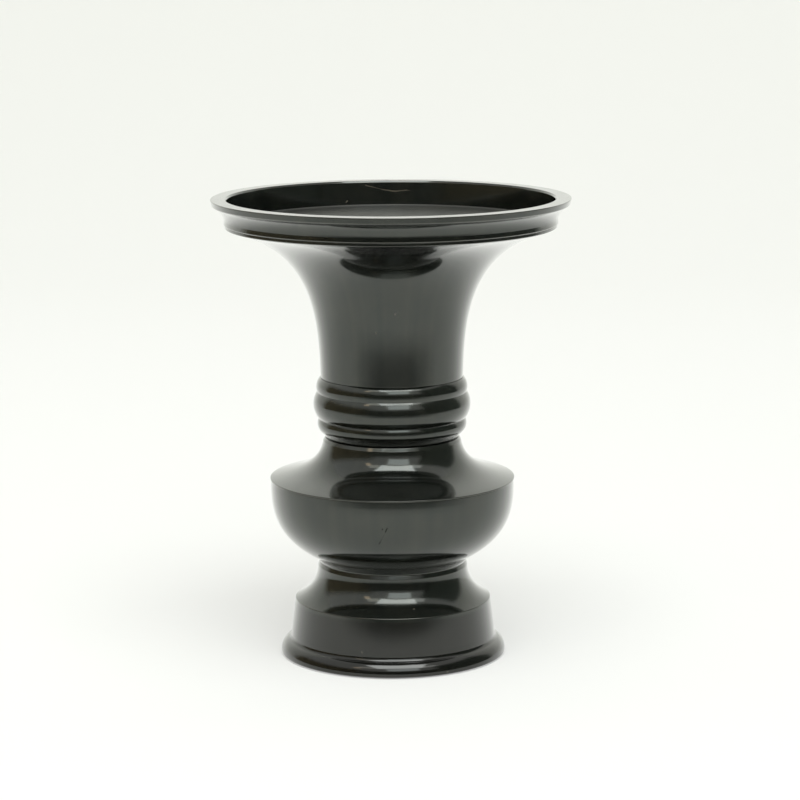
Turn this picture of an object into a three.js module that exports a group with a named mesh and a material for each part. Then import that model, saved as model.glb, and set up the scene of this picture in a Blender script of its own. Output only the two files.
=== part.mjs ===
// A small altar vase turned from cast brass and finished black, with a water liner that lifts out.
// Millimetres, +Z up, origin in the middle of the base. A profile is a line of (radius, height) points.
import * as THREE from 'three';

// Heights of the stacked pieces, from the base up
const footHeight = 21.5;
const bowlHeight = 19.2;
const shoulderHeight = 9.7;
const collarHeight = 13.8;
const neckHeight = 35;
const mouthHeight = 5.8;

// Foot
const baseRadius = 25;
const toeFlare = 0.8;
const toeWidest = 0.4;
const toeTopInset = 0.91;
const toeTopHeight = 3.4;
const toeSwell = 0.56;
const filletWidth = 0.67;
const filletHeight = 1;
const filletDepth = 0.18;
const drumTaper = 1.02;
const drumHeight = 8.55;
const coveFall = 1.89;
const coveReach = 3.13;
const coveClimb = 4.1;
const footNeckStep = 0.33;
const footNeckDrop = 0.88;
const footWall = 2.2;

// Belly
const ankleRadius = 16.83;
const ankleSpigotDepth = 4;
const ankleSpigotWall = 1.5;
const ankleSpigotInset = 2.9;
const throatStep = 2.33;
const throatHeight = 2.2;
const throatLean = 0.527;
const throatRise = 0.95;
const throatRun = 0.5;
const bellyRadius = 27.8;
const bellyHeight = 17.9;
const bellyRun = 8.92;
const bellyDrop = 5.74;
const bellyFloor = 3.7;
const bellyRecess = 1;
const bellyDraw = 0.14;
const bowlWall = 2.1;
const ridgeProud = 0.12;
const ridgeThickness = 0.35;
const shoulderTopStep = 0.61;
const shoulderTopDrop = 1.2;
const shoulderHandles = { lowInset: 0.1, lowRise: 1.7, highOutset: 1.63, highDrop: 7.9 };
const shoulderWall = 1.8;
const registerDepth = 1.8;
const registerWall = 1.6;

// Waist ring of three beads
const notchRadius = 15.34;
const waistSpigotInset = 1.24;
const spigotWall = 1.2;
const spigotReach = 5.5;
const lowBead = { bottom: 1.66, bottomProud: 1.15, top: 4.35, topProud: 1.36, swell: 0.6 };
const middleBead = { top: 10.5, topProud: 1.66, swell: 1.05 };
const topBeadSwell = 0.72;

// Trumpet neck
const neckProud = 0.86;
const flareRadius = 37.1;
const neckSpread = 0.42;
const neckClimb = 13.4;
const flareSpread = 1.13;
const flareDrop = 4.93;
const edgeProud = 0.38;
const edgeThickness = 0.8;
const edgeRound = 0.2;
const neckWall = 1.8;
const neckRoot = 3;
const landWidth = 0.98;
const seatDepth = 0.45;

// Mouth
const mouthSpread = 0.83;
const lipWidth = 3.38;
const lipThickness = 1.45;
const lipUndercut = 0.5;
const lipLean = 0.3;
const lipEase = 0.2;
const lipEaseSwell = 0.06;
const lipRound = 0.25;
const bandProud = 0.23;
const bandLean = 0.05;
const bandHeight = 1.1;
const bandCove = { climb: 1, spread: 0.94, drop: 0.85 };

// Water liner
const slipClearance = 0.35;
const flangeThickness = 0.5;
const rollRadius = 0.38;
const tubeClearance = 1.55;
const tubeWall = 0.8;
const tubeFloorGap = 6.05;
const tubeLipWidth = 1.1;
const tubeLipHeight = 0.35;
const plateThickness = 0.8;
const plateStep = 0.4;

// Clearance round every soldered spigot, and the number of flats round a turned piece
const solderGap = 0.15;
const flats = 48;

const bowlBase = footHeight;
const shoulderBase = bowlBase + bowlHeight;
const collarBase = shoulderBase + shoulderHeight;
const neckBase = collarBase + collarHeight;
const mouthBase = neckBase + neckHeight;
const lipTop = mouthBase + mouthHeight;

const toeTopRadius = baseRadius - toeTopInset;
const drumBottomRadius = toeTopRadius - filletWidth;
const drumBottomHeight = toeTopHeight + filletHeight;
const ankleSpigotRadius = ankleRadius - ankleSpigotInset;
const bowlMouthRadius = bellyRadius - bellyDraw;
const waistBoreRadius = notchRadius - waistSpigotInset;
const neckRadius = notchRadius + neckProud;
const spigotRadius = waistBoreRadius - solderGap;
const neckBoreRadius = spigotRadius - spigotWall;
const edgeRadius = flareRadius + edgeProud;
const landRadius = edgeRadius - landWidth;
const seatHeight = mouthBase - seatDepth;
const tubeRadius = neckBoreRadius - tubeClearance;
const tubeBoreRadius = tubeRadius - tubeWall;
const flangeTop = seatHeight + flangeThickness;
const tubeEnd = bowlBase + bellyFloor + tubeFloorGap;

const at = (radius, height) => new THREE.Vector2(radius, height);

// A smooth curve from start to end, pulled towards two handles
function sweep(start, handleA, handleB, end, steps) {
  return new THREE.CubicBezierCurve(start, handleA, handleB, end).getPoints(steps);
}

// A round from start to end that swells outwards by the given height, or hollows where that is negative
function round(start, end, swell, steps) {
  const chord = end.clone().sub(start);
  const middle = start.clone().add(end).multiplyScalar(0.5);
  const along = chord.clone().normalize();
  const outwards = at(along.y, -along.x);
  const radius = (chord.lengthSq() / 4 + swell * swell) / (2 * swell);
  const halfAngle = 2 * Math.atan(2 * swell / chord.length());
  return Array.from({ length: steps + 1 }, (_, i) => {
    const angle = halfAngle * (2 * i / steps - 1);
    return middle.clone()
      .addScaledVector(along, radius * Math.sin(angle))
      .addScaledVector(outwards, radius * Math.cos(angle) - (radius - swell));
  });
}

// The inside of a wall: every second point of the outside line, moved inwards by the wall's thickness
function inset(line, wall) {
  const moved = line.map((point, i) => {
    const before = line[Math.max(i - 1, 0)];
    const after = line[Math.min(i + 1, line.length - 1)];
    const along = after.clone().sub(before).normalize();
    return at(point.x - along.y * wall, point.y + along.x * wall);
  });
  return moved.filter((_, i) => i % 2 === 0);
}

function mesh(name, profile, material) {
  const geometry = new THREE.LatheGeometry(profile, flats);
  geometry.rotateX(Math.PI / 2);
  const piece = new THREE.Mesh(geometry, material);
  piece.name = name;
  return piece;
}

// A turned ring, whose profile closes on itself
function ring(name, profile, material) {
  return mesh(name, [...profile, profile[0]], material);
}

function blackBrass() {
  return new THREE.MeshStandardMaterial({ color: 0x23241f, roughness: 0.28, metalness: 0.7 });
}

function linerBrass() {
  return new THREE.MeshStandardMaterial({ color: 0x4b4337, roughness: 0.42, metalness: 0.8 });
}

// Hollow foot: flared toe, tapered drum with a sharp top edge, cove, and the socket for the bowl
function foot() {
  const toe = round(at(baseRadius + toeFlare, toeWidest), at(toeTopRadius, toeTopHeight), toeSwell, 4);
  const fillet = round(at(toeTopRadius, toeTopHeight), at(drumBottomRadius, drumBottomHeight), -filletDepth, 2);
  const drumTop = at(drumBottomRadius - drumTaper, drumBottomHeight + drumHeight);
  const footNeck = at(ankleRadius + footNeckStep, footHeight - footNeckDrop);
  const cove = sweep(
    drumTop,
    at(drumTop.x - coveReach, drumTop.y + coveFall),
    at(footNeck.x, footNeck.y - coveClimb),
    footNeck,
    7,
  );
  const socketRadius = ankleSpigotRadius + solderGap;
  const socketFloor = footHeight - ankleSpigotDepth - solderGap;
  const hollow = inset(cove, footWall)
    .filter((point) => point.y < socketFloor - solderGap && point.x > socketRadius)
    .reverse();
  return ring('foot', [
    at(baseRadius, 0),
    ...toe,
    ...fillet.slice(1),
    ...cove,
    at(ankleRadius, footHeight),
    at(socketRadius, footHeight),
    at(socketRadius, socketFloor),
    ...hollow,
    at(drumBottomRadius - footWall, drumBottomHeight),
    at(drumBottomRadius - footWall, 0),
  ], blackBrass());
}

// Outside of the lower belly, from the seam at the ankle to the seam under the ridge
function bowlOutline() {
  const throat = at(ankleRadius + throatStep, bowlBase + throatHeight);
  const lean = at(Math.cos(throatLean), Math.sin(throatLean));
  const belly = at(bellyRadius, bowlBase + bellyHeight);
  const ankle = at(ankleRadius, bowlBase);
  const lower = sweep(
    ankle,
    at(ankleRadius, bowlBase + throatRise),
    throat.clone().addScaledVector(lean, -throatRun),
    throat,
    4,
  );
  const upper = sweep(
    throat,
    throat.clone().addScaledVector(lean, bellyRun),
    at(bellyRadius, bowlBase + bellyHeight - bellyDrop),
    belly,
    9,
  );
  return [...lower, ...upper.slice(1), at(bowlMouthRadius, shoulderBase)];
}

// Lower belly: a closed cup that carries the shoulder on its rim and stands on a short spigot
function bellyBowl() {
  const outside = bowlOutline();
  const floor = bowlBase + bellyFloor;
  const mouth = at(bowlMouthRadius - bowlWall, shoulderBase);
  const inside = inset(outside, bowlWall)
    .filter((point) => point.y > floor + solderGap && point.y < shoulderBase - solderGap)
    .reverse();
  const floorRadius = inside[inside.length - 1].x - bowlWall;
  const spigotEnd = bowlBase - ankleSpigotDepth;
  const recessRadius = ankleSpigotRadius - ankleSpigotWall;
  return mesh('belly_bowl', [
    at(0, bowlBase + bellyRecess),
    at(recessRadius, bowlBase + bellyRecess),
    at(recessRadius, spigotEnd),
    at(ankleSpigotRadius, spigotEnd),
    at(ankleSpigotRadius, bowlBase),
    ...outside,
    mouth,
    ...inside,
    at(floorRadius, floor),
    at(0, floor),
  ], blackBrass());
}

// Upper belly: the ridge, the hollow shoulder, the socket for the neck and a register into the bowl
function shoulder() {
  const ridge = at(bellyRadius + ridgeProud, shoulderBase + ridgeThickness);
  const top = at(notchRadius + shoulderTopStep, collarBase - shoulderTopDrop);
  const slope = sweep(
    ridge,
    at(ridge.x - shoulderHandles.lowInset, ridge.y + shoulderHandles.lowRise),
    at(top.x + shoulderHandles.highOutset, top.y - shoulderHandles.highDrop),
    top,
    9,
  );
  const registerRadius = bowlMouthRadius - bowlWall - solderGap;
  const registerBore = registerRadius - registerWall;
  const hollow = inset(slope, shoulderWall)
    .filter((point) => point.y > shoulderBase && point.x < registerBore && point.x > waistBoreRadius)
    .reverse();
  return ring('shoulder', [
    at(ridge.x, shoulderBase),
    ...slope,
    at(notchRadius, collarBase),
    at(waistBoreRadius, collarBase),
    at(waistBoreRadius, hollow[0].y),
    ...hollow,
    at(registerBore, shoulderBase - registerDepth),
    at(registerRadius, shoulderBase - registerDepth),
    at(registerRadius, shoulderBase),
  ], blackBrass());
}

// Waist ring: three turned beads with sharp creases between them, bored to slip over the neck's spigot
function waistCollar() {
  const lowStart = at(notchRadius + lowBead.bottomProud, collarBase + lowBead.bottom);
  const lowEnd = at(notchRadius + lowBead.topProud, collarBase + lowBead.top);
  const middleEnd = at(notchRadius + middleBead.topProud, collarBase + middleBead.top);
  const topEnd = at(neckRadius, neckBase);
  return ring('waist_collar', [
    at(notchRadius, collarBase),
    ...round(lowStart, lowEnd, lowBead.swell, 5),
    ...round(lowEnd, middleEnd, middleBead.swell, 8).slice(1),
    ...round(middleEnd, topEnd, topBeadSwell, 6).slice(1),
    at(waistBoreRadius, neckBase),
    at(waistBoreRadius, collarBase),
  ], blackBrass());
}

// Trumpet neck: a thin flare with the liner's seat in its edge, and a long spigot through the waist
function trumpetNeck() {
  const flareTop = mouthBase - edgeThickness;
  const flare = sweep(
    at(neckRadius, neckBase),
    at(neckRadius + neckSpread, neckBase + neckClimb),
    at(neckRadius + flareSpread, flareTop - flareDrop),
    at(flareRadius, flareTop),
    12,
  );
  const spigotEnd = collarBase - spigotReach;
  const inside = inset(flare, neckWall)
    .filter((point) => point.y > neckBase + neckRoot + neckWall && point.y < seatHeight - solderGap)
    .reverse();
  return ring('trumpet_neck', [
    at(spigotRadius, spigotEnd),
    at(spigotRadius, neckBase),
    ...flare,
    at(edgeRadius, flareTop + edgeRound),
    at(edgeRadius, mouthBase - edgeRound / 2),
    at(edgeRadius - edgeRound / 2, mouthBase),
    at(landRadius, mouthBase),
    at(landRadius, seatHeight),
    at(inside[0].x + neckWall, seatHeight),
    ...inside,
    at(neckBoreRadius, neckBase + neckRoot),
    at(neckBoreRadius, spigotEnd),
  ], blackBrass());
}

// Mouth ring: the coved band and the flat lip, soldered to the land on the trumpet's edge
function mouthRim() {
  const lipOpening = landRadius + mouthSpread;
  const lipRadius = lipOpening + lipWidth;
  const lipUnder = lipTop - lipThickness;
  const bandFoot = at(edgeRadius + bandProud, mouthBase + bandProud);
  const bandTop = at(bandFoot.x - bandLean, mouthBase + bandHeight);
  const cove = sweep(
    bandTop,
    at(bandTop.x, bandTop.y + bandCove.climb),
    at(bandTop.x + bandCove.spread, lipUnder - bandCove.drop),
    at(lipRadius - lipUndercut, lipUnder),
    6,
  );
  const ease = round(cove[cove.length - 1], at(lipRadius - lipLean, lipUnder + lipEase), lipEaseSwell, 2);
  return ring('mouth_rim', [
    at(landRadius, mouthBase),
    at(edgeRadius, mouthBase),
    bandFoot,
    ...cove,
    ...ease.slice(1),
    at(lipRadius, lipTop - lipRound),
    at(lipRadius - lipRound, lipTop),
    at(lipOpening + lipRound, lipTop),
    at(lipOpening, lipTop - lipRound),
  ], blackBrass());
}

// Liner flange: a thin disc with a rolled edge, which rests on the seat inside the mouth
function linerFlange() {
  const rollCentre = landRadius - slipClearance - rollRadius;
  const roll = round(at(rollCentre, seatHeight), at(rollCentre, seatHeight + 2 * rollRadius), rollRadius, 6);
  return ring('liner_flange', [
    at(tubeRadius + solderGap, seatHeight),
    ...roll,
    at(rollCentre - rollRadius, flangeTop),
    at(tubeRadius + solderGap, flangeTop),
  ], linerBrass());
}

// Liner tube: hangs from its lip on the flange and is stepped at the bottom for its plate
function linerTube() {
  const plateRecess = tubeBoreRadius + plateStep;
  return ring('liner_tube', [
    at(tubeRadius, tubeEnd),
    at(tubeRadius, flangeTop),
    at(tubeRadius + tubeLipWidth, flangeTop),
    at(tubeRadius + tubeLipWidth, flangeTop + tubeLipHeight / 2),
    at(tubeRadius, flangeTop + tubeLipHeight),
    at(tubeBoreRadius, flangeTop + tubeLipHeight / 2),
    at(tubeBoreRadius, tubeEnd + plateThickness),
    at(plateRecess, tubeEnd + plateThickness),
    at(plateRecess, tubeEnd),
  ], linerBrass());
}

// Liner bottom: the round plate soldered into the step at the tube's end
function linerBottom() {
  const plateRadius = tubeBoreRadius + plateStep - solderGap;
  return mesh('liner_bottom', [
    at(0, tubeEnd),
    at(plateRadius, tubeEnd),
    at(plateRadius, tubeEnd + plateThickness),
    at(0, tubeEnd + plateThickness),
  ], linerBrass());
}

const vase = new THREE.Group();
vase.add(foot(), bellyBowl(), shoulder(), waistCollar(), trumpetNeck(), mouthRim());
vase.add(linerFlange(), linerTube(), linerBottom());

export default vase;
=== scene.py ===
# A blackened brass altar vase with its lift-out water liner, dressed for a product picture.
import math

import bpy
from mathutils import Matrix, Vector


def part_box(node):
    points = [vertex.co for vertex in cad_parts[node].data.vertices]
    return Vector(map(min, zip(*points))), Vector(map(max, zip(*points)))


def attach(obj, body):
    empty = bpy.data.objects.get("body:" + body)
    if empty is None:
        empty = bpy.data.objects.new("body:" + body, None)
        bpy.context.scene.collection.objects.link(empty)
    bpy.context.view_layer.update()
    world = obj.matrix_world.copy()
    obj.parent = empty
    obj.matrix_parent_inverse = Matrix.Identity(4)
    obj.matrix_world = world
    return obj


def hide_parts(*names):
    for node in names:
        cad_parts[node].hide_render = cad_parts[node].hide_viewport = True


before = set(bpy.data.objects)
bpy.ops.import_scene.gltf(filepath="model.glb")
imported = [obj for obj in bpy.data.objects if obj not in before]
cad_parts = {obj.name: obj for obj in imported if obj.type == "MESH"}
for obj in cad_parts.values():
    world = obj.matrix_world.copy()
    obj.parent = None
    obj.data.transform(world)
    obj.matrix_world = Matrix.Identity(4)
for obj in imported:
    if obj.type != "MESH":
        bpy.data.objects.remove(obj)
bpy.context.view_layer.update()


# Foot: a hollow brass casting, turned outside, with a flared toe under a tapered drum and a cove above.
# The socket in its neck takes the bowl's spigot, which is soldered in. All outsides are blackened
# together after the soldering, then waxed and rubbed up to a soft gloss.
MM = 0.001
SLICES = 256
base_radius = 25
toe_flare = 0.8
toe_widest = 0.4
toe_top_inset = 0.91
toe_top_height = 3.4
toe_swell = 0.56
fillet_width = 0.67
fillet_height = 1
fillet_depth = 0.18
drum_taper = 1.02
drum_height = 8.55
cove_fall = 1.36
cove_reach = 2.6
cove_climb = 3.9
ankle_radius = 16.83
foot_neck_step = 0.33
foot_neck_drop = 0.88
foot_wall = 2.2
spigot_inset = 2.9
spigot_depth = 4
solder_gap = 0.15


def heights(node):
    """Height of a piece's underside and top above the floor, in millimetres."""
    low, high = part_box(node)
    return low.z / MM, high.z / MM


def sweep(start, pull_a, pull_b, end, steps):
    """Points of a smooth curve from start to end, pulled towards two handles."""
    points = []
    for i in range(steps + 1):
        t = i / steps
        weights = ((1 - t) ** 3, 3 * t * (1 - t) ** 2, 3 * t * t * (1 - t), t ** 3)
        corners = (start, pull_a, pull_b, end)
        points.append(tuple(sum(w * c[k] for w, c in zip(weights, corners)) for k in (0, 1)))
    return points


def arc(start, end, swell, steps):
    """Points of a round from start to end that swells outwards, or hollows where swell is negative."""
    chord = Vector(end) - Vector(start)
    middle = (Vector(end) + Vector(start)) / 2
    along = chord.normalized()
    outwards = Vector((along.y, -along.x))
    radius = (chord.length_squared / 4 + swell * swell) / (2 * swell)
    half_angle = 2 * math.atan(2 * swell / chord.length)
    angles = [half_angle * (2 * i / steps - 1) for i in range(steps + 1)]
    return [
        tuple(middle + along * radius * math.sin(a) + outwards * (radius * math.cos(a) - radius + swell))
        for a in angles
    ]


def inset(line, wall):
    """The inside of a wall: the outside line moved inwards by the wall's thickness."""
    moved = []
    for i, point in enumerate(line):
        before = Vector(line[max(i - 1, 0)])
        after = Vector(line[min(i + 1, len(line) - 1)])
        along = (after - before).normalized()
        moved.append((point[0] - along.y * wall, point[1] + along.x * wall))
    return moved


def eased(outline, edge, closed):
    """The outline with each sharp corner broken by a small curve. A point is (radius, height, wear)."""
    sharpest_kept = math.radians(14)
    bend_per_step = math.radians(15)
    guard = 0.06
    hollow_shrink = 3
    longest_cut = 0.4
    points = []
    count = len(outline)
    for i, corner in enumerate(outline):
        here = Vector(corner)
        if not closed and i in (0, count - 1):
            points.append((*here, 0.0))
            continue
        to_before = Vector(outline[i - 1]) - here
        to_after = Vector(outline[(i + 1) % count]) - here
        turn = (-to_before).angle_signed(to_after)
        if abs(turn) < sharpest_kept:
            points.append((*here, 0.0))
            continue
        convex = turn < 0
        size = edge if convex else edge / hollow_shrink
        room = longest_cut * min(to_before.length, to_after.length)
        cut = min(size * math.tan(abs(turn) / 2), room)
        first = here + to_before.normalized() * cut
        last = here + to_after.normalized() * cut
        steps = max(3, round(abs(turn) / bend_per_step))
        points.append((*(first + to_before.normalized() * min(guard, room / 2)), 0.0))
        for k in range(steps + 1):
            t = k / steps
            bend = first * (1 - t) ** 2 + here * 2 * t * (1 - t) + last * t * t
            points.append((*bend, 1.0 if convex else -1.0))
        points.append((*(last + to_after.normalized() * min(guard, room / 2)), 0.0))
    return points


def turned(name, outline, edge=0.12, closed=True):
    """A piece turned on the lathe: an outline, up the outside and down the inside, taken round the axis."""
    points = eased(outline, edge, closed)
    vertices = []
    wear = []
    rows = []
    for radius, height, worn in points:
        on_axis = radius < 1e-6
        slices = 1 if on_axis else SLICES
        rows.append([len(vertices) + k for k in range(slices)])
        for k in range(slices):
            angle = 2 * math.pi * k / SLICES
            place = Vector((radius * math.cos(angle), radius * math.sin(angle), height)) * MM
            vertices.append(place)
            wear.append(worn)
    pairs = list(zip(rows, rows[1:]))
    if closed:
        pairs.append((rows[-1], rows[0]))
    faces = []
    for lower, upper in pairs:
        for k in range(SLICES):
            ring = [lower[k % len(lower)], lower[(k + 1) % len(lower)]]
            ring += [upper[(k + 1) % len(upper)], upper[k % len(upper)]]
            faces.append(list(dict.fromkeys(ring)))
    mesh = bpy.data.meshes.new(name)
    mesh.from_pydata(vertices, [], [face for face in faces if len(face) > 2])
    mesh.attributes.new("wear", "FLOAT", "POINT").data.foreach_set("value", wear)
    mesh.shade_smooth()
    piece = bpy.data.objects.new(name, mesh)
    bpy.context.scene.collection.objects.link(piece)
    return piece


def colour(code):
    """A linear colour from an sRGB hex value."""
    parts = [int(code[i:i + 2], 16) / 255 for i in (1, 3, 5)]
    return (*[c / 12.92 if c <= 0.04045 else ((c + 0.055) / 1.055) ** 2.4 for c in parts], 1.0)


def node(tree, kind, inputs=None, **settings):
    """Adds a node, sets it up, and fills its inputs with values or with links."""
    made = tree.nodes.new(kind)
    for name, value in settings.items():
        setattr(made, name, value)
    for place, value in (inputs or {}).items():
        if isinstance(value, bpy.types.NodeSocket):
            tree.links.new(value, made.inputs[place])
        else:
            made.inputs[place].default_value = value
    return made


def mark(tree, place, start, end, width):
    """Where a short mark from start to end lies, in millimetres: 1 along its middle, 0 beyond its width."""
    start = Vector(start)
    line = Vector(end) - start
    past = node(tree, "ShaderNodeVectorMath", {0: place, 1: start}, operation="SUBTRACT").outputs[0]
    share = node(tree, "ShaderNodeVectorMath", {0: past, 1: line / line.length_squared},
                 operation="DOT_PRODUCT").outputs["Value"]
    kept = node(tree, "ShaderNodeClamp", {"Value": share}).outputs[0]
    nearest = node(tree, "ShaderNodeVectorMath", {0: line, "Scale": kept}, operation="SCALE").outputs[0]
    off = node(tree, "ShaderNodeVectorMath", {0: past, 1: nearest}, operation="DISTANCE").outputs["Value"]
    return node(tree, "ShaderNodeMapRange", {0: off, 1: width / 4, 2: width / 2, 3: 1.0, 4: 0.0},
                interpolation_type="SMOOTHSTEP").outputs[0]


def blackened_brass(name):
    """Brass under a black sulphide patina with a coat of wax: near-black metal that mirrors softly,
    a clearer gloss from the wax above it, faint lathe rings, cloudy rubbing, wiped streaks, paler worn
    edges, and the hairlines and specks of an old piece."""
    pale_marks = (
        ((-6.0, 36.5, 103.95), (-1.9, 36.7, 102.9), 0.36),
        ((-1.9, 36.7, 102.9), (1.0, 36.8, 102.45), 0.5),
        ((1.0, 36.8, 102.45), (3.7, 36.6, 102.75), 0.4),
        ((3.7, 36.6, 102.75), (5.3, 36.3, 102.5), 0.3),
        ((-10.6, 35.0, 100.1), (-10.3, 35.1, 100.4), 0.45),
        ((0.7, -18.2, 81.0), (0.9, -18.2, 81.3), 0.35),
        ((-3.5, -16.8, 76.6), (-3.4, -16.9, 76.9), 0.3),
        ((-15.0, -6.4, 67.8), (-15.0, -6.4, 68.1), 0.35),
        ((4.6, -19.5, 14.5), (4.8, -19.5, 14.6), 0.45),
        ((-7.0, -22.2, 5.2), (-7.0, -22.2, 5.5), 0.25),
        ((12.1, -22.9, 0.8), (12.3, -22.8, 0.9), 0.4),
    )
    dark_marks = (
        ((-1.2, -27.5, 34.9), (-1.6, -27.3, 34.0), 0.32),
        ((-1.9, -27.0, 33.3), (-3.0, -26.2, 31.1), 0.26),
        ((-2.2, -27.4, 34.7), (-2.3, -27.3, 34.6), 0.34),
    )
    material = bpy.data.materials.new(name)
    material.use_nodes = True
    tree = material.node_tree
    tree.nodes.clear()
    place = node(tree, "ShaderNodeTexCoord").outputs["Object"]
    in_mm = node(tree, "ShaderNodeVectorMath", {0: place, "Scale": 1 / MM}, operation="SCALE").outputs[0]
    axes = node(tree, "ShaderNodeSeparateXYZ", {0: in_mm})
    flat = node(tree, "ShaderNodeCombineXYZ", {"X": axes.outputs["X"], "Y": axes.outputs["Y"]})
    radius = node(tree, "ShaderNodeVectorMath", {0: flat.outputs[0]}, operation="LENGTH").outputs["Value"]
    facing = node(tree, "ShaderNodeSeparateXYZ", {0: node(tree, "ShaderNodeNewGeometry").outputs["Normal"]})
    level = node(tree, "ShaderNodeMath", {0: facing.outputs["Z"]}, operation="ABSOLUTE").outputs[0]

    # Lathe rings about 0.4 mm apart, along the height on upright surfaces and along the radius on flat ones
    rings_per_mm = 2.5
    rings = []
    for along in (axes.outputs["Z"], radius):
        rings.append(node(tree, "ShaderNodeTexNoise", {"W": along, "Scale": rings_per_mm, "Detail": 2},
                          noise_dimensions="1D").outputs["Fac"])
    lathe = node(tree, "ShaderNodeMix", {0: level, 2: rings[0], 3: rings[1]}).outputs[0]

    # Rubbed clouds some 9 mm across, and a 0.3 mm tooth left by the patina bath
    clouds_per_mm = 0.11
    teeth_per_mm = 3.2
    clouds = node(tree, "ShaderNodeTexNoise", {"Vector": in_mm, "Scale": clouds_per_mm, "Detail": 4,
                                               "Roughness": 0.6})
    tooth = node(tree, "ShaderNodeTexNoise", {"Vector": in_mm, "Scale": teeth_per_mm, "Detail": 3})

    # Upright streaks from wiping, each some six degrees wide
    streaks_per_radian = 9.0
    streak_share = 0.4
    bearing = node(tree, "ShaderNodeMath", {0: axes.outputs["Y"], 1: axes.outputs["X"]},
                   operation="ARCTAN2").outputs[0]
    wiped = node(tree, "ShaderNodeTexNoise", {"W": bearing, "Scale": streaks_per_radian, "Detail": 2},
                 noise_dimensions="1D").outputs["Fac"]
    mottle = node(tree, "ShaderNodeMix", {0: streak_share, 2: clouds.outputs["Fac"], 3: wiped}).outputs[0]
    shade = node(tree, "ShaderNodeMapRange", {0: mottle, 1: 0.35, 2: 0.65}).outputs[0]
    tone = node(tree, "ShaderNodeMix", {0: shade, 6: colour("#282e29"), 7: colour("#353831")},
                data_type="RGBA").outputs[2]
    worn = node(tree, "ShaderNodeAttribute", attribute_name="wear").outputs["Fac"]
    rubbed = node(tree, "ShaderNodeMath", {0: worn, 1: tooth.outputs["Fac"]}, operation="MULTIPLY",
                  use_clamp=True).outputs[0]
    tone = node(tree, "ShaderNodeMix", {0: rubbed, 6: tone, 7: colour("#4c4b43")},
                data_type="RGBA").outputs[2]

    # The toe and the drum of the foot, below about 12 mm, are given a darker tone
    darker_foot_line = (11.9, 12.4)
    darker_foot_share = 0.8
    low = node(tree, "ShaderNodeMapRange",
               {0: axes.outputs["Z"], 1: darker_foot_line[0], 2: darker_foot_line[1], 3: darker_foot_share, 4: 0.0})
    tone = node(tree, "ShaderNodeMix", {0: low.outputs[0], 6: tone, 7: colour("#15150f")},
                data_type="RGBA").outputs[2]

    # Marks: dark ones are scuffs through the wax, pale ones are dried lime, which isn't metal
    metal_share = 0.8
    wax_roughness = 0.085
    relief_depth = 0.0000005
    waxed = 1.0
    for start, end, width in dark_marks:
        scuff = mark(tree, in_mm, start, end, width)
        tone = node(tree, "ShaderNodeMix", {0: scuff, 6: tone, 7: colour("#1c1e1b")},
                    data_type="RGBA").outputs[2]
        waxed = node(tree, "ShaderNodeMath", {0: waxed, 1: scuff}, operation="SUBTRACT",
                     use_clamp=True).outputs[0]
    matt = 0.0
    for start, end, width in pale_marks:
        scratch = mark(tree, in_mm, start, end, width)
        tone = node(tree, "ShaderNodeMix", {0: scratch, 6: tone, 7: colour("#514d42")},
                    data_type="RGBA").outputs[2]
        matt = node(tree, "ShaderNodeMath", {0: matt, 1: scratch}, operation="MAXIMUM").outputs[0]
    metal = node(tree, "ShaderNodeMath", {0: metal_share, 1: matt}, operation="SUBTRACT",
                 use_clamp=True).outputs[0]
    roughness = node(tree, "ShaderNodeMapRange",
                     {0: clouds.outputs["Fac"], 1: 0.3, 2: 0.7, 3: 0.12, 4: 0.18})
    tiny = node(tree, "ShaderNodeMath", {0: lathe, 1: tooth.outputs["Fac"]}, operation="ADD").outputs[0]
    relief = node(tree, "ShaderNodeBump", {"Strength": 1.0, "Distance": relief_depth, "Height": tiny})
    shader = node(tree, "ShaderNodeBsdfPrincipled", {
        "Base Color": tone,
        "Metallic": metal,
        "Roughness": roughness.outputs[0],
        "Normal": relief.outputs[0],
        "Coat Weight": waxed,
        "Coat Roughness": wax_roughness,
    })
    node(tree, "ShaderNodeOutputMaterial", {"Surface": shader.outputs[0]})
    return material


black = blackened_brass("waxed_black_patina_on_brass")
foot_base, foot_top = heights("foot")
toe_top = (base_radius - toe_top_inset, foot_base + toe_top_height)
drum_bottom = (toe_top[0] - fillet_width, toe_top[1] + fillet_height)
drum_top = (drum_bottom[0] - drum_taper, drum_bottom[1] + drum_height)
foot_neck = (ankle_radius + foot_neck_step, foot_top - foot_neck_drop)
cove = sweep(
    drum_top,
    (drum_top[0] - cove_reach, drum_top[1] + cove_fall),
    (foot_neck[0], foot_neck[1] - cove_climb),
    foot_neck,
    steps=24,
)
spigot_radius = ankle_radius - spigot_inset
socket_radius = spigot_radius + solder_gap
socket_floor = foot_top - spigot_depth - solder_gap
hollow = [p for p in inset(cove, foot_wall) if p[1] < socket_floor - solder_gap and p[0] > socket_radius]
foot = turned("foot_turned", [
    (base_radius, foot_base),
    *arc((base_radius + toe_flare, foot_base + toe_widest), toe_top, toe_swell, steps=16),
    *arc(toe_top, drum_bottom, -fillet_depth, steps=8)[1:],
    *cove,
    (ankle_radius, foot_top),
    (socket_radius, foot_top),
    (socket_radius, socket_floor),
    *reversed(hollow),
    (drum_bottom[0] - foot_wall, drum_bottom[1]),
    (drum_bottom[0] - foot_wall, foot_base),
], edge=0.2)
foot.data.materials.append(black)
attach(foot, "vase")
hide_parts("foot")


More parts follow.
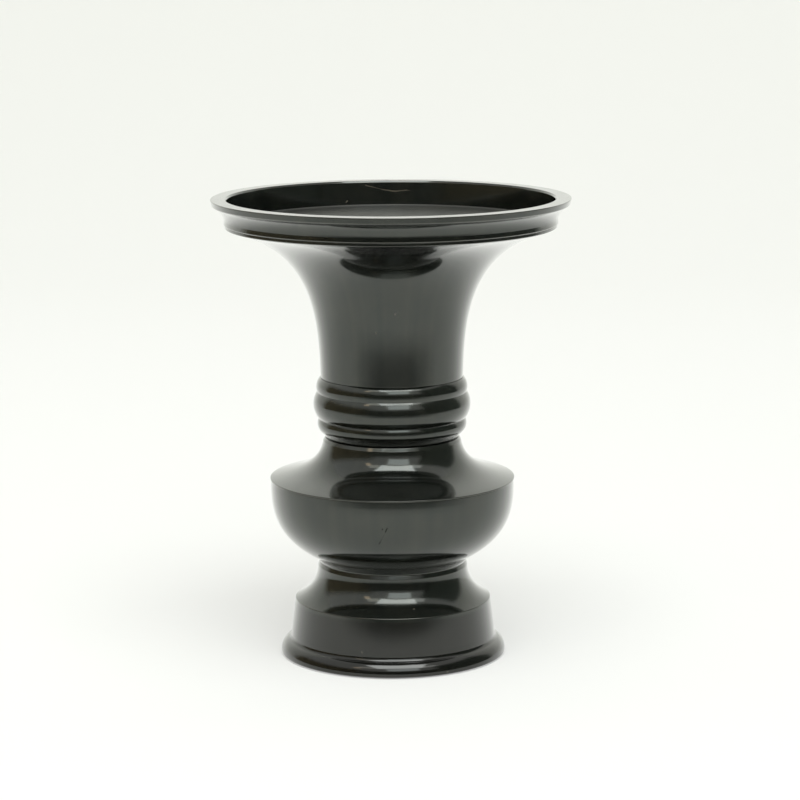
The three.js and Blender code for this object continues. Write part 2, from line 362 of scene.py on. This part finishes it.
# Lower belly: a cup spun thick and turned, with a closed floor and a short spigot below.
# It stands in the foot's socket and its rim carries the shoulder.
throat_step = 2.33
throat_height = 2.2
throat_lean = 0.527
throat_rise = 0.95
throat_run = 0.5
belly_radius = 27.8
belly_height = 17.9
belly_run = 8.92
belly_drop = 5.74
belly_floor = 3.7
belly_recess = 1
belly_draw = 0.05
bowl_wall = 2.1
spigot_wall = 1.5
bowl_base = foot_top
bowl_top = heights("belly_bowl")[1]
throat = (ankle_radius + throat_step, bowl_base + throat_height)
lean = (math.cos(throat_lean), math.sin(throat_lean))
bowl_mouth = (belly_radius - belly_draw, bowl_top)
bowl_outside = sweep(
    (ankle_radius, bowl_base),
    (ankle_radius, bowl_base + throat_rise),
    (throat[0] - lean[0] * throat_run, throat[1] - lean[1] * throat_run),
    throat,
    steps=12,
) + sweep(
    throat,
    (throat[0] + lean[0] * belly_run, throat[1] + lean[1] * belly_run),
    (belly_radius, bowl_base + belly_height - belly_drop),
    (belly_radius, bowl_base + belly_height),
    steps=36,
)[1:] + [bowl_mouth]
bowl_floor = bowl_base + belly_floor
bowl_inside = [
    p for p in inset(bowl_outside, bowl_wall) if bowl_floor + solder_gap < p[1] < bowl_top - solder_gap
]
belly_bowl = turned("belly_bowl_turned", [
    (0, bowl_base + belly_recess),
    (spigot_radius - spigot_wall, bowl_base + belly_recess),
    (spigot_radius - spigot_wall, bowl_base - spigot_depth),
    (spigot_radius, bowl_base - spigot_depth),
    (spigot_radius, bowl_base),
    *bowl_outside,
    (bowl_mouth[0] - bowl_wall, bowl_top),
    *reversed(bowl_inside),
    (bowl_inside[0][0] - bowl_wall, bowl_floor),
    (0, bowl_floor),
], closed=False)
belly_bowl.data.materials.append(black)
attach(belly_bowl, "vase")
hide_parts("belly_bowl")


# Shoulder: the turned upper shell of the belly. Its thin ridge stands a little proud of the bowl,
# a register below fits inside the bowl's rim, and its neck is the socket for the trumpet's spigot.
ridge_proud = 0.12
ridge_thickness = 0.35
notch_radius = 15.34
shoulder_top_step = 0.42
shoulder_top_drop = 0.75
shoulder_low_handle = (5.91, 1.69)
shoulder_high_handle = (1.0, 5.9)
shoulder_wall = 1.8
register_depth = 1.8
register_wall = 1.6
waist_spigot_inset = 1.24
shoulder_base = bowl_top
collar_base = heights("waist_collar")[0]
ridge = (belly_radius + ridge_proud, shoulder_base + ridge_thickness)
shoulder_top = (notch_radius + shoulder_top_step, collar_base - shoulder_top_drop)
slope = sweep(
    ridge,
    (ridge[0] - shoulder_low_handle[0], ridge[1] + shoulder_low_handle[1]),
    (shoulder_top[0] + shoulder_high_handle[0], shoulder_top[1] - shoulder_high_handle[1]),
    shoulder_top,
    steps=36,
)
waist_bore = notch_radius - waist_spigot_inset
register_radius = bowl_mouth[0] - bowl_wall - solder_gap
register_bore = register_radius - register_wall
shoulder_inside = [
    p for p in inset(slope, shoulder_wall) if p[1] > shoulder_base and waist_bore < p[0] < register_bore
]
shoulder = turned("shoulder_turned", [
    (ridge[0], shoulder_base),
    *slope,
    (notch_radius, collar_base),
    (waist_bore, collar_base),
    (waist_bore, shoulder_inside[-1][1]),
    *reversed(shoulder_inside),
    (register_bore, shoulder_base - register_depth),
    (register_radius, shoulder_base - register_depth),
    (register_radius, shoulder_base),
])
shoulder.data.materials.append(black)
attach(shoulder, "vase")
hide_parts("shoulder")


# Waist collar: one ring with three beads turned side by side, sharp creases between them and a groove
# below. It slips over the trumpet's spigot and is soldered between the shoulder and the neck.
low_bead_start = (1.15, 1.66)
low_crease = (1.36, 4.35)
upper_crease = (1.72, 10.5)
bead_swells = (0.42, 1.05, 0.48)
neck_proud = 0.86
top_bead_proud = 1.0
groove_depth = 0.35
bead_steps = 28
weld_distance = 0.000005
sharpest_smooth = math.radians(30)
neck_radius = notch_radius + neck_proud
neck_base = heights("waist_collar")[1]

beads = bpy.data.node_groups.new("beaded_ring", "GeometryNodeTree")
beads.is_modifier = True
collar_sizes = {
    "Groove bottom": Vector((notch_radius - groove_depth, collar_base, 0)) * MM,
    "Low bead start": Vector((notch_radius + low_bead_start[0], collar_base + low_bead_start[1], 0)) * MM,
    "Low crease": Vector((notch_radius + low_crease[0], collar_base + low_crease[1], 0)) * MM,
    "Upper crease": Vector((notch_radius + upper_crease[0], collar_base + upper_crease[1], 0)) * MM,
    "Top edge": Vector((notch_radius + top_bead_proud, neck_base, 0)) * MM,
    "Bore top": Vector((waist_bore, neck_base, 0)) * MM,
    "Bore bottom": Vector((waist_bore, collar_base, 0)) * MM,
    "Low swell": bead_swells[0] * MM,
    "Middle swell": bead_swells[1] * MM,
    "Top swell": bead_swells[2] * MM,
}
for name, value in collar_sizes.items():
    kind = "NodeSocketFloat" if isinstance(value, float) else "NodeSocketVector"
    beads.interface.new_socket(name, in_out="INPUT", socket_type=kind)
beads.interface.new_socket("Ring", in_out="OUTPUT", socket_type="NodeSocketGeometry")
size_of = node(beads, "NodeGroupInput").outputs
parts = node(beads, "GeometryNodeJoinGeometry")
outline_curves = []
for start, end, swell in (
    ("Low bead start", "Low crease", "Low swell"),
    ("Low crease", "Upper crease", "Middle swell"),
    ("Upper crease", "Top edge", "Top swell"),
):
    chord = node(beads, "ShaderNodeVectorMath", {0: size_of[end], 1: size_of[start]}, operation="SUBTRACT")
    across = node(beads, "ShaderNodeVectorMath", {0: chord.outputs[0], 1: (0, 0, 1)},
                  operation="CROSS_PRODUCT")
    outwards = node(beads, "ShaderNodeVectorMath", {0: across.outputs[0]}, operation="NORMALIZE")
    bulge = node(beads, "ShaderNodeVectorMath", {0: outwards.outputs[0], "Scale": size_of[swell]},
                 operation="SCALE")
    middle = node(beads, "ShaderNodeMix", {0: 0.5, 4: size_of[start], 5: size_of[end]}, data_type="VECTOR")
    crown = node(beads, "ShaderNodeVectorMath", {0: middle.outputs[1], 1: bulge.outputs[0]},
                 operation="ADD")
    bead = node(beads, "GeometryNodeCurveArc", {
        "Resolution": 2 * bead_steps,
        "Start": size_of[start],
        "Middle": crown.outputs[0],
        "End": size_of[end],
    }, mode="POINTS")
    outline_curves.append((bead.outputs["Curve"], bead_steps))
for start, end in (
    ("Top edge", "Bore top"),
    ("Bore top", "Bore bottom"),
    ("Bore bottom", "Groove bottom"),
    ("Groove bottom", "Low bead start"),
):
    straight = node(beads, "GeometryNodeCurvePrimitiveLine", {"Start": size_of[start], "End": size_of[end]})
    outline_curves.append((straight.outputs["Curve"], 1))
for curve, steps in outline_curves:
    sheet = node(beads, "GeometryNodeMeshGrid", {
        "Size X": 1.0, "Size Y": 1.0, "Vertices X": steps + 1, "Vertices Y": SLICES + 1,
    })
    cell = node(beads, "ShaderNodeSeparateXYZ", {0: node(beads, "GeometryNodeInputPosition").outputs[0]})
    share = node(beads, "ShaderNodeMath", {0: cell.outputs["X"], 1: 0.5}, operation="ADD")
    turn = node(beads, "ShaderNodeMath", {0: cell.outputs["Y"], 1: -2 * math.pi}, operation="MULTIPLY")
    on_curve = node(beads, "GeometryNodeSampleCurve", {"Curves": curve, "Factor": share.outputs[0]},
                    mode="FACTOR")
    profile = node(beads, "ShaderNodeSeparateXYZ", {0: on_curve.outputs["Position"]})
    flat_place = node(beads, "ShaderNodeCombineXYZ", {"X": profile.outputs["X"], "Z": profile.outputs["Y"]})
    lathe_place = node(beads, "ShaderNodeVectorRotate",
                       {0: flat_place.outputs[0], "Angle": turn.outputs[0]}, rotation_type="Z_AXIS")
    strip = node(beads, "GeometryNodeSetPosition", {"Geometry": sheet.outputs["Mesh"],
                                                    "Position": lathe_place.outputs[0]})
    beads.links.new(strip.outputs[0], parts.inputs[0])
closed_ring = node(beads, "GeometryNodeMergeByDistance",
                   {"Geometry": parts.outputs[0], "Distance": weld_distance})
fold = node(beads, "GeometryNodeInputMeshEdgeAngle")
gentle = node(beads, "FunctionNodeCompare", {0: fold.outputs["Unsigned Angle"], 1: sharpest_smooth},
              data_type="FLOAT", operation="LESS_THAN")
shaded = node(beads, "GeometryNodeSetShadeSmooth",
              {0: closed_ring.outputs[0], "Shade Smooth": gentle.outputs[0]}, domain="EDGE")
real_ring = node(beads, "GeometryNodeRealizeInstances", {0: shaded.outputs[0]})
dressed_ring = node(beads, "GeometryNodeSetMaterial", {"Geometry": real_ring.outputs[0], "Material": black})
node(beads, "NodeGroupOutput", {0: dressed_ring.outputs[0]})

blank = bpy.data.objects.new("collar_blank", bpy.data.meshes.new("collar_blank"))
bpy.context.scene.collection.objects.link(blank)
lathe = blank.modifiers.new("beaded_ring", "NODES")
lathe.node_group = beads
for name, value in collar_sizes.items():
    lathe[beads.interface.items_tree[name].identifier] = value
turned_ring = blank.evaluated_get(bpy.context.evaluated_depsgraph_get())
collar_mesh = bpy.data.meshes.new_from_object(turned_ring)
bpy.data.objects.remove(blank)
waist_collar = bpy.data.objects.new("waist_collar_turned", collar_mesh)
bpy.context.scene.collection.objects.link(waist_collar)
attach(waist_collar, "vase")
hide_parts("waist_collar")


# Trumpet neck: a thin flare drawn out to the mouth, with a land and a seat turned into its edge for
# the mouth ring and the liner. A long spigot below runs through the collar into the shoulder.
flare_radius = 37.1
neck_spread = 0.42
neck_climb = 13.4
flare_spread = 1.13
flare_drop = 4.93
edge_proud = 0.38
edge_thickness = 0.8
edge_rise = 0.2
neck_wall = 1.8
neck_root = 3
land_width = 0.98
seat_depth = 0.45
collar_spigot_wall = 1.2
spigot_reach = 5.5
neck_top = heights("trumpet_neck")[1]
flare_top = neck_top - edge_thickness
flare = sweep(
    (neck_radius, neck_base),
    (neck_radius + neck_spread, neck_base + neck_climb),
    (neck_radius + flare_spread, flare_top - flare_drop),
    (flare_radius, flare_top),
    steps=48,
)
edge_radius = flare_radius + edge_proud
land_radius = edge_radius - land_width
seat_height = neck_top - seat_depth
collar_spigot = waist_bore - solder_gap
neck_bore = collar_spigot - collar_spigot_wall
spigot_end = collar_base - spigot_reach
inside_low = neck_base + neck_root + neck_wall
trumpet_inside = [p for p in inset(flare, neck_wall) if inside_low < p[1] < seat_height - solder_gap]
trumpet_neck = turned("trumpet_neck_turned", [
    (collar_spigot, spigot_end),
    (collar_spigot, neck_base),
    *flare,
    (edge_radius, flare_top + edge_rise),
    (edge_radius, neck_top),
    (land_radius, neck_top),
    (land_radius, seat_height),
    (trumpet_inside[-1][0] + neck_wall, seat_height),
    *reversed(trumpet_inside),
    (neck_bore, neck_base + neck_root),
    (neck_bore, spigot_end),
])
trumpet_neck.data.materials.append(black)
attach(trumpet_neck, "vase")
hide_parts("trumpet_neck")


# Mouth ring: a flat lip over a coved band, turned from one heavy ring and soldered to the trumpet's
# land. Its inner wall leans out a little, so that the liner drops in freely, and ends in a chamfer.
mouth_spread = 0.83
lip_width = 3.38
lip_thickness = 1.45
lip_undercut = 0.5
lip_lean = 0.3
lip_ease = 0.2
lip_chamfer = (0.3, 0.4)
band_proud = 0.23
band_lean = 0.05
band_height = 1.1
band_cove = (1, 0.94, 0.85)
lip_top = heights("mouth_rim")[1]
lip_opening = land_radius + mouth_spread
lip_radius = lip_opening + lip_width
lip_under = lip_top - lip_thickness
band_foot = (edge_radius + band_proud, neck_top + band_proud)
band_top = (band_foot[0] - band_lean, neck_top + band_height)
mouth_rim = turned("mouth_rim_turned", [
    (land_radius, neck_top),
    (edge_radius, neck_top),
    band_foot,
    *sweep(
        band_top,
        (band_top[0], band_top[1] + band_cove[0]),
        (band_top[0] + band_cove[1], lip_under - band_cove[2]),
        (lip_radius - lip_undercut, lip_under),
        steps=20,
    ),
    (lip_radius - lip_lean, lip_under + lip_ease),
    (lip_radius, lip_top),
    (lip_opening, lip_top),
    (lip_opening - lip_chamfer[0], lip_top - lip_chamfer[1]),
], edge=0.18)
mouth_rim.data.materials.append(black)
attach(mouth_rim, "vase")
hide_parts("mouth_rim")


# Liner flange: the thin disc that closes the mouth round the water tube. Its edge is rolled so that
# fingers can lift it, and it lies loose on the seat inside the mouth.
slip_clearance = 0.35
flange_thickness = 0.5
roll_radius = 0.38
tube_clearance = 1.55
tube_wall = 0.8


def dulled_brass(name):
    """Brass left to darken by itself: grey, much duller than the vase, with cloudy browner water
    stains and a fine tooth that scatters the light."""
    stains_per_mm = 0.14
    teeth_per_mm = 4.0
    metal_share = 0.75
    relief_depth = 0.000004
    material = bpy.data.materials.new(name)
    material.use_nodes = True
    tree = material.node_tree
    tree.nodes.clear()
    place = node(tree, "ShaderNodeTexCoord").outputs["Object"]
    in_mm = node(tree, "ShaderNodeVectorMath", {0: place, "Scale": 1 / MM}, operation="SCALE").outputs[0]
    stains = node(tree, "ShaderNodeTexNoise", {"Vector": in_mm, "Scale": stains_per_mm, "Detail": 5,
                                               "Roughness": 0.62, "Distortion": 0.4})
    grain = node(tree, "ShaderNodeTexNoise", {"Vector": in_mm, "Scale": teeth_per_mm, "Detail": 3})
    tone = node(tree, "ShaderNodeMix",
                {0: stains.outputs["Fac"], 6: colour("#424646"), 7: colour("#5a5851")},
                data_type="RGBA").outputs[2]
    roughness = node(tree, "ShaderNodeMapRange",
                     {0: stains.outputs["Fac"], 1: 0.3, 2: 0.7, 3: 0.36, 4: 0.5})
    relief = node(tree, "ShaderNodeBump",
                  {"Strength": 1.0, "Distance": relief_depth, "Height": grain.outputs["Fac"]})
    shader = node(tree, "ShaderNodeBsdfPrincipled", {
        "Base Color": tone,
        "Metallic": metal_share,
        "Roughness": roughness.outputs[0],
        "Normal": relief.outputs[0],
    })
    node(tree, "ShaderNodeOutputMaterial", {"Surface": shader.outputs[0]})
    return material


dull = dulled_brass("naturally_darkened_brass")
flange_base = heights("liner_flange")[0]
flange_top = flange_base + flange_thickness
tube_radius = neck_bore - tube_clearance
roll_centre = land_radius - slip_clearance - roll_radius
liner_flange = turned("liner_flange_turned", [
    (tube_radius + solder_gap, flange_base),
    *arc((roll_centre, flange_base), (roll_centre, flange_base + 2 * roll_radius), roll_radius, steps=20),
    (roll_centre - roll_radius, flange_top),
    (tube_radius + solder_gap, flange_top),
], edge=0.08)
liner_flange.data.materials.append(dull)
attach(liner_flange, "liner")
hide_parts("liner_flange")


# Liner tube: a drawn brass tube that holds the water and the stems. Its lip hangs on the flange,
# and a step inside its lower end takes the bottom plate.
tube_lip_width = 1.1
tube_lip_height = 0.35
plate_thickness = 0.8
plate_step = 0.4
tube_end = heights("liner_tube")[0]
tube_bore = tube_radius - tube_wall
plate_recess = tube_bore + plate_step
liner_tube = turned("liner_tube_turned", [
    (tube_radius, tube_end),
    (tube_radius, flange_top),
    (tube_radius + tube_lip_width, flange_top),
    (tube_radius + tube_lip_width, flange_top + tube_lip_height / 2),
    (tube_radius, flange_top + tube_lip_height),
    (tube_bore, flange_top + tube_lip_height / 2),
    (tube_bore, tube_end + plate_thickness),
    (plate_recess, tube_end + plate_thickness),
    (plate_recess, tube_end),
], edge=0.1)
liner_tube.data.materials.append(dull)
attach(liner_tube, "liner")
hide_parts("liner_tube")


# Liner bottom: a round plate, soldered into the step at the tube's end.
plate_radius = plate_recess - solder_gap
liner_bottom = turned("liner_bottom_turned", [
    (0, tube_end),
    (plate_radius, tube_end),
    (plate_radius, tube_end + plate_thickness),
    (0, tube_end + plate_thickness),
], closed=False)
liner_bottom.data.materials.append(dull)
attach(liner_bottom, "liner")
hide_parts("liner_bottom")


# Table and backdrop: one sheet of matt white paper, laid flat and curved up well behind the vase.
sheet_half_width = 3.0
sheet_front = -3.0
sheet_back = 1.4
sheet_curve = 0.8
sheet_top = 2.4
curve_steps = 24
paper_line = [(sheet_front, 0.0), (sheet_back - sheet_curve, 0.0)]
for i in range(1, curve_steps + 1):
    bend = math.pi / 2 * i / curve_steps
    paper_line.append((sheet_back - sheet_curve + sheet_curve * math.sin(bend),
                       sheet_curve - sheet_curve * math.cos(bend)))
paper_line.append((sheet_back, sheet_top))
paper_points = [(side * sheet_half_width, y, z) for y, z in paper_line for side in (-1, 1)]
paper_faces = [(2 * i, 2 * i + 1, 2 * i + 3, 2 * i + 2) for i in range(len(paper_line) - 1)]
paper_mesh = bpy.data.meshes.new("paper_sheet")
paper_mesh.from_pydata(paper_points, [], paper_faces)
paper_mesh.shade_smooth()
paper_sheet = bpy.data.objects.new("paper_sheet", paper_mesh)
bpy.context.scene.collection.objects.link(paper_sheet)
paper = bpy.data.materials.new("matt_white_paper")
paper.use_nodes = True
paper_shader = paper.node_tree.nodes["Principled BSDF"]
paper_shader.inputs["Base Color"].default_value = colour("#f4f5ef")
paper_shader.inputs["Roughness"].default_value = 0.9
paper_shader.inputs["Specular IOR Level"].default_value = 0.1

# The sheet is seen and mirrored whiter than the lamps make it, most of all near the vase. Light that
# the sheet itself sends on to the vase stays as the lamps make it.
whitening = 0.38
far_whitening = 0.1
whitened_to = (0.25, 1.3)
ray = node(paper.node_tree, "ShaderNodeLightPath").outputs
seen = node(paper.node_tree, "ShaderNodeMath", {0: ray["Is Camera Ray"], 1: ray["Is Glossy Ray"]},
            operation="ADD").outputs[0]
seen = node(paper.node_tree, "ShaderNodeMath", {0: seen, 1: ray["Is Transmission Ray"]}, operation="ADD",
            use_clamp=True).outputs[0]
paper_place = node(paper.node_tree, "ShaderNodeTexCoord").outputs["Object"]
from_vase = node(paper.node_tree, "ShaderNodeVectorMath", {0: paper_place},
                 operation="LENGTH").outputs["Value"]
white_share = node(paper.node_tree, "ShaderNodeMapRange", {
    0: from_vase, 1: whitened_to[0], 2: whitened_to[1], 3: whitening, 4: far_whitening,
}, interpolation_type="SMOOTHSTEP").outputs[0]
share = node(paper.node_tree, "ShaderNodeMath", {0: seen, 1: white_share}, operation="MULTIPLY").outputs[0]
white = node(paper.node_tree, "ShaderNodeEmission", {"Color": (1, 1, 1, 1), "Strength": 1.0})
sheet_shader = node(paper.node_tree, "ShaderNodeMixShader", {0: share, 1: paper_shader.outputs[0],
                                                             2: white.outputs[0]})
paper_output = paper.node_tree.nodes["Material Output"]
paper.node_tree.links.new(sheet_shader.outputs[0], paper_output.inputs["Surface"])
paper_mesh.materials.append(paper)


# Studio light: a broad lamp high in front, a smaller cool one below it, a faint glow to each side, a
# small warm one on the left, and a pale room all round. Grey and brown gauze cards, out of the camera's
# sight, darken what the polish mirrors in front and on both sides. The grey card on the table is painted
# shade: it stands in for the shade on the table in front of the vase, in what the polish mirrors and on
# the floor under it.
aim_height = 0.06
card_distance = 0.62
table_lift = 0.001


def lamp(name, elevation, azimuth, distance, size, radiance, tint):
    """A flat area lamp aimed at the belly. Azimuth 0 is on the camera's side and grows to the right."""
    up, round_ = math.radians(elevation), math.radians(azimuth)
    aim = Vector((0, 0, aim_height))
    towards = Vector((math.sin(round_) * math.cos(up), -math.cos(round_) * math.cos(up), math.sin(up)))
    data = bpy.data.lights.new(name, "AREA")
    data.shape = "RECTANGLE"
    data.size, data.size_y = size
    data.energy = radiance * math.pi * size[0] * size[1]
    data.color = colour(tint)[:3]
    made = bpy.data.objects.new(name, data)
    made.location = aim + towards * distance
    made.rotation_mode = "QUATERNION"
    made.rotation_quaternion = (-towards).to_track_quat("-Z", "Y")
    bpy.context.scene.collection.objects.link(made)


def card(name, line, first, last, fade, code):
    """A matt gauze card bent round the vase between two azimuths, fading out towards both in some degrees.
    A point of its line is (distance, height, density), in metres and as a share."""
    steps = 48
    points = []
    density = []
    for i in range(steps + 1):
        turned_by = first + (last - first) * i / steps
        side = min(1, (turned_by - first) / fade, (last - turned_by) / fade)
        azimuth = math.radians(turned_by)
        for distance, height, thickness in line:
            points.append((distance * math.sin(azimuth), -distance * math.cos(azimuth), height))
            density.append(thickness * side)
    width = len(line)
    faces = [
        (i * width + k, i * width + k + 1, (i + 1) * width + k + 1, (i + 1) * width + k)
        for i in range(steps) for k in range(width - 1)
    ]
    mesh = bpy.data.meshes.new(name)
    mesh.from_pydata(points, [], faces)
    mesh.attributes.new("veil", "FLOAT", "POINT").data.foreach_set("value", density)
    finish = bpy.data.materials.new(name)
    finish.use_nodes = True
    tree = finish.node_tree
    tree.nodes.clear()
    cloth = node(tree, "ShaderNodeBsdfDiffuse", {"Color": colour(code)})
    holes = node(tree, "ShaderNodeBsdfTransparent")
    dense = node(tree, "ShaderNodeAttribute", attribute_name="veil").outputs["Fac"]
    gauze = node(tree, "ShaderNodeMixShader", {0: dense, 1: holes.outputs[0], 2: cloth.outputs[0]})
    node(tree, "ShaderNodeOutputMaterial", {"Surface": gauze.outputs[0]})
    mesh.materials.append(finish)
    made = bpy.data.objects.new(name, mesh)
    made.visible_camera = False
    bpy.context.scene.collection.objects.link(made)


# Elevation and azimuth in degrees, distance and size in metres, radiance, tint
lamp("overhead_panel", 66, 8, 1.3, (0.95, 0.78), 4.7, "#fbfdff")
lamp("front_window", 36.5, 11, 1.4, (0.74, 0.48), 1.9, "#f2fbff")
lamp("left_glow", 50, -36, 1.4, (0.34, 0.24), 1.3, "#fffaf0")
lamp("right_glow", 50, 48, 1.4, (0.34, 0.24), 1.6, "#ffffff")
lamp("warm_bulb", 42, -44, 1.35, (0.15, 0.2), 2.2, "#ffdfba")

# Line, then first azimuth, last azimuth and fade in degrees, then tint
card("dark_front_card", [
    (card_distance, 0.0, 1), (card_distance, 0.22, 1), (card_distance, 0.34, 0),
], -44, 60, 12, "#757672")
card("dark_right_card", [
    (card_distance, 0.0, 1), (card_distance, 0.56, 1), (card_distance, 0.74, 0),
], 42, 122, 10, "#686d68")
card("brown_left_card", [
    (card_distance, 0.0, 1), (card_distance, 0.24, 1), (card_distance, 0.46, 0),
], -122, -26, 12, "#857a66")
# Painted shade: a grey sheet standing in for the shade on the table in front of the vase
card("table_shade_card", [
    (0.15, table_lift, 0), (0.2, table_lift, 0.22), (0.24, table_lift, 0.6), (0.3, table_lift, 0.85),
    (card_distance, table_lift, 0.85),
], -64, 74, 45, "#6c6d6a")

world = bpy.data.worlds.new("pale_room")
world.use_nodes = True
world.node_tree.nodes["Background"].inputs["Color"].default_value = colour("#dededc")
world.node_tree.nodes["Background"].inputs["Strength"].default_value = 1.0
bpy.context.scene.world = world


# Camera: 7 cm above the mouth and 65 cm in front, looking down by ten degrees, with the photo's slight
# turn and tilt. The lens is a long one, for a sensor 36 mm wide.
camera_distance = 0.6453
camera_height = 0.1753
camera_data = bpy.data.cameras.new("camera")
camera_data.sensor_width = 36
camera_data.lens = 129.4
camera = bpy.data.objects.new("camera", camera_data)
pitch, yaw, roll = math.radians(10.248), math.radians(0.1636), math.radians(-0.2788)
camera.matrix_world = (
    Matrix.Translation((0, -camera_distance, camera_height))
    @ Matrix.Rotation(-yaw, 4, "Z")
    @ Matrix.Rotation(math.pi / 2 - pitch, 4, "X")
    @ Matrix.Rotation(roll, 4, "Z")
)
bpy.context.scene.collection.objects.link(camera)
bpy.context.scene.camera = camera
bpy.context.scene.view_settings.view_transform = "Standard"
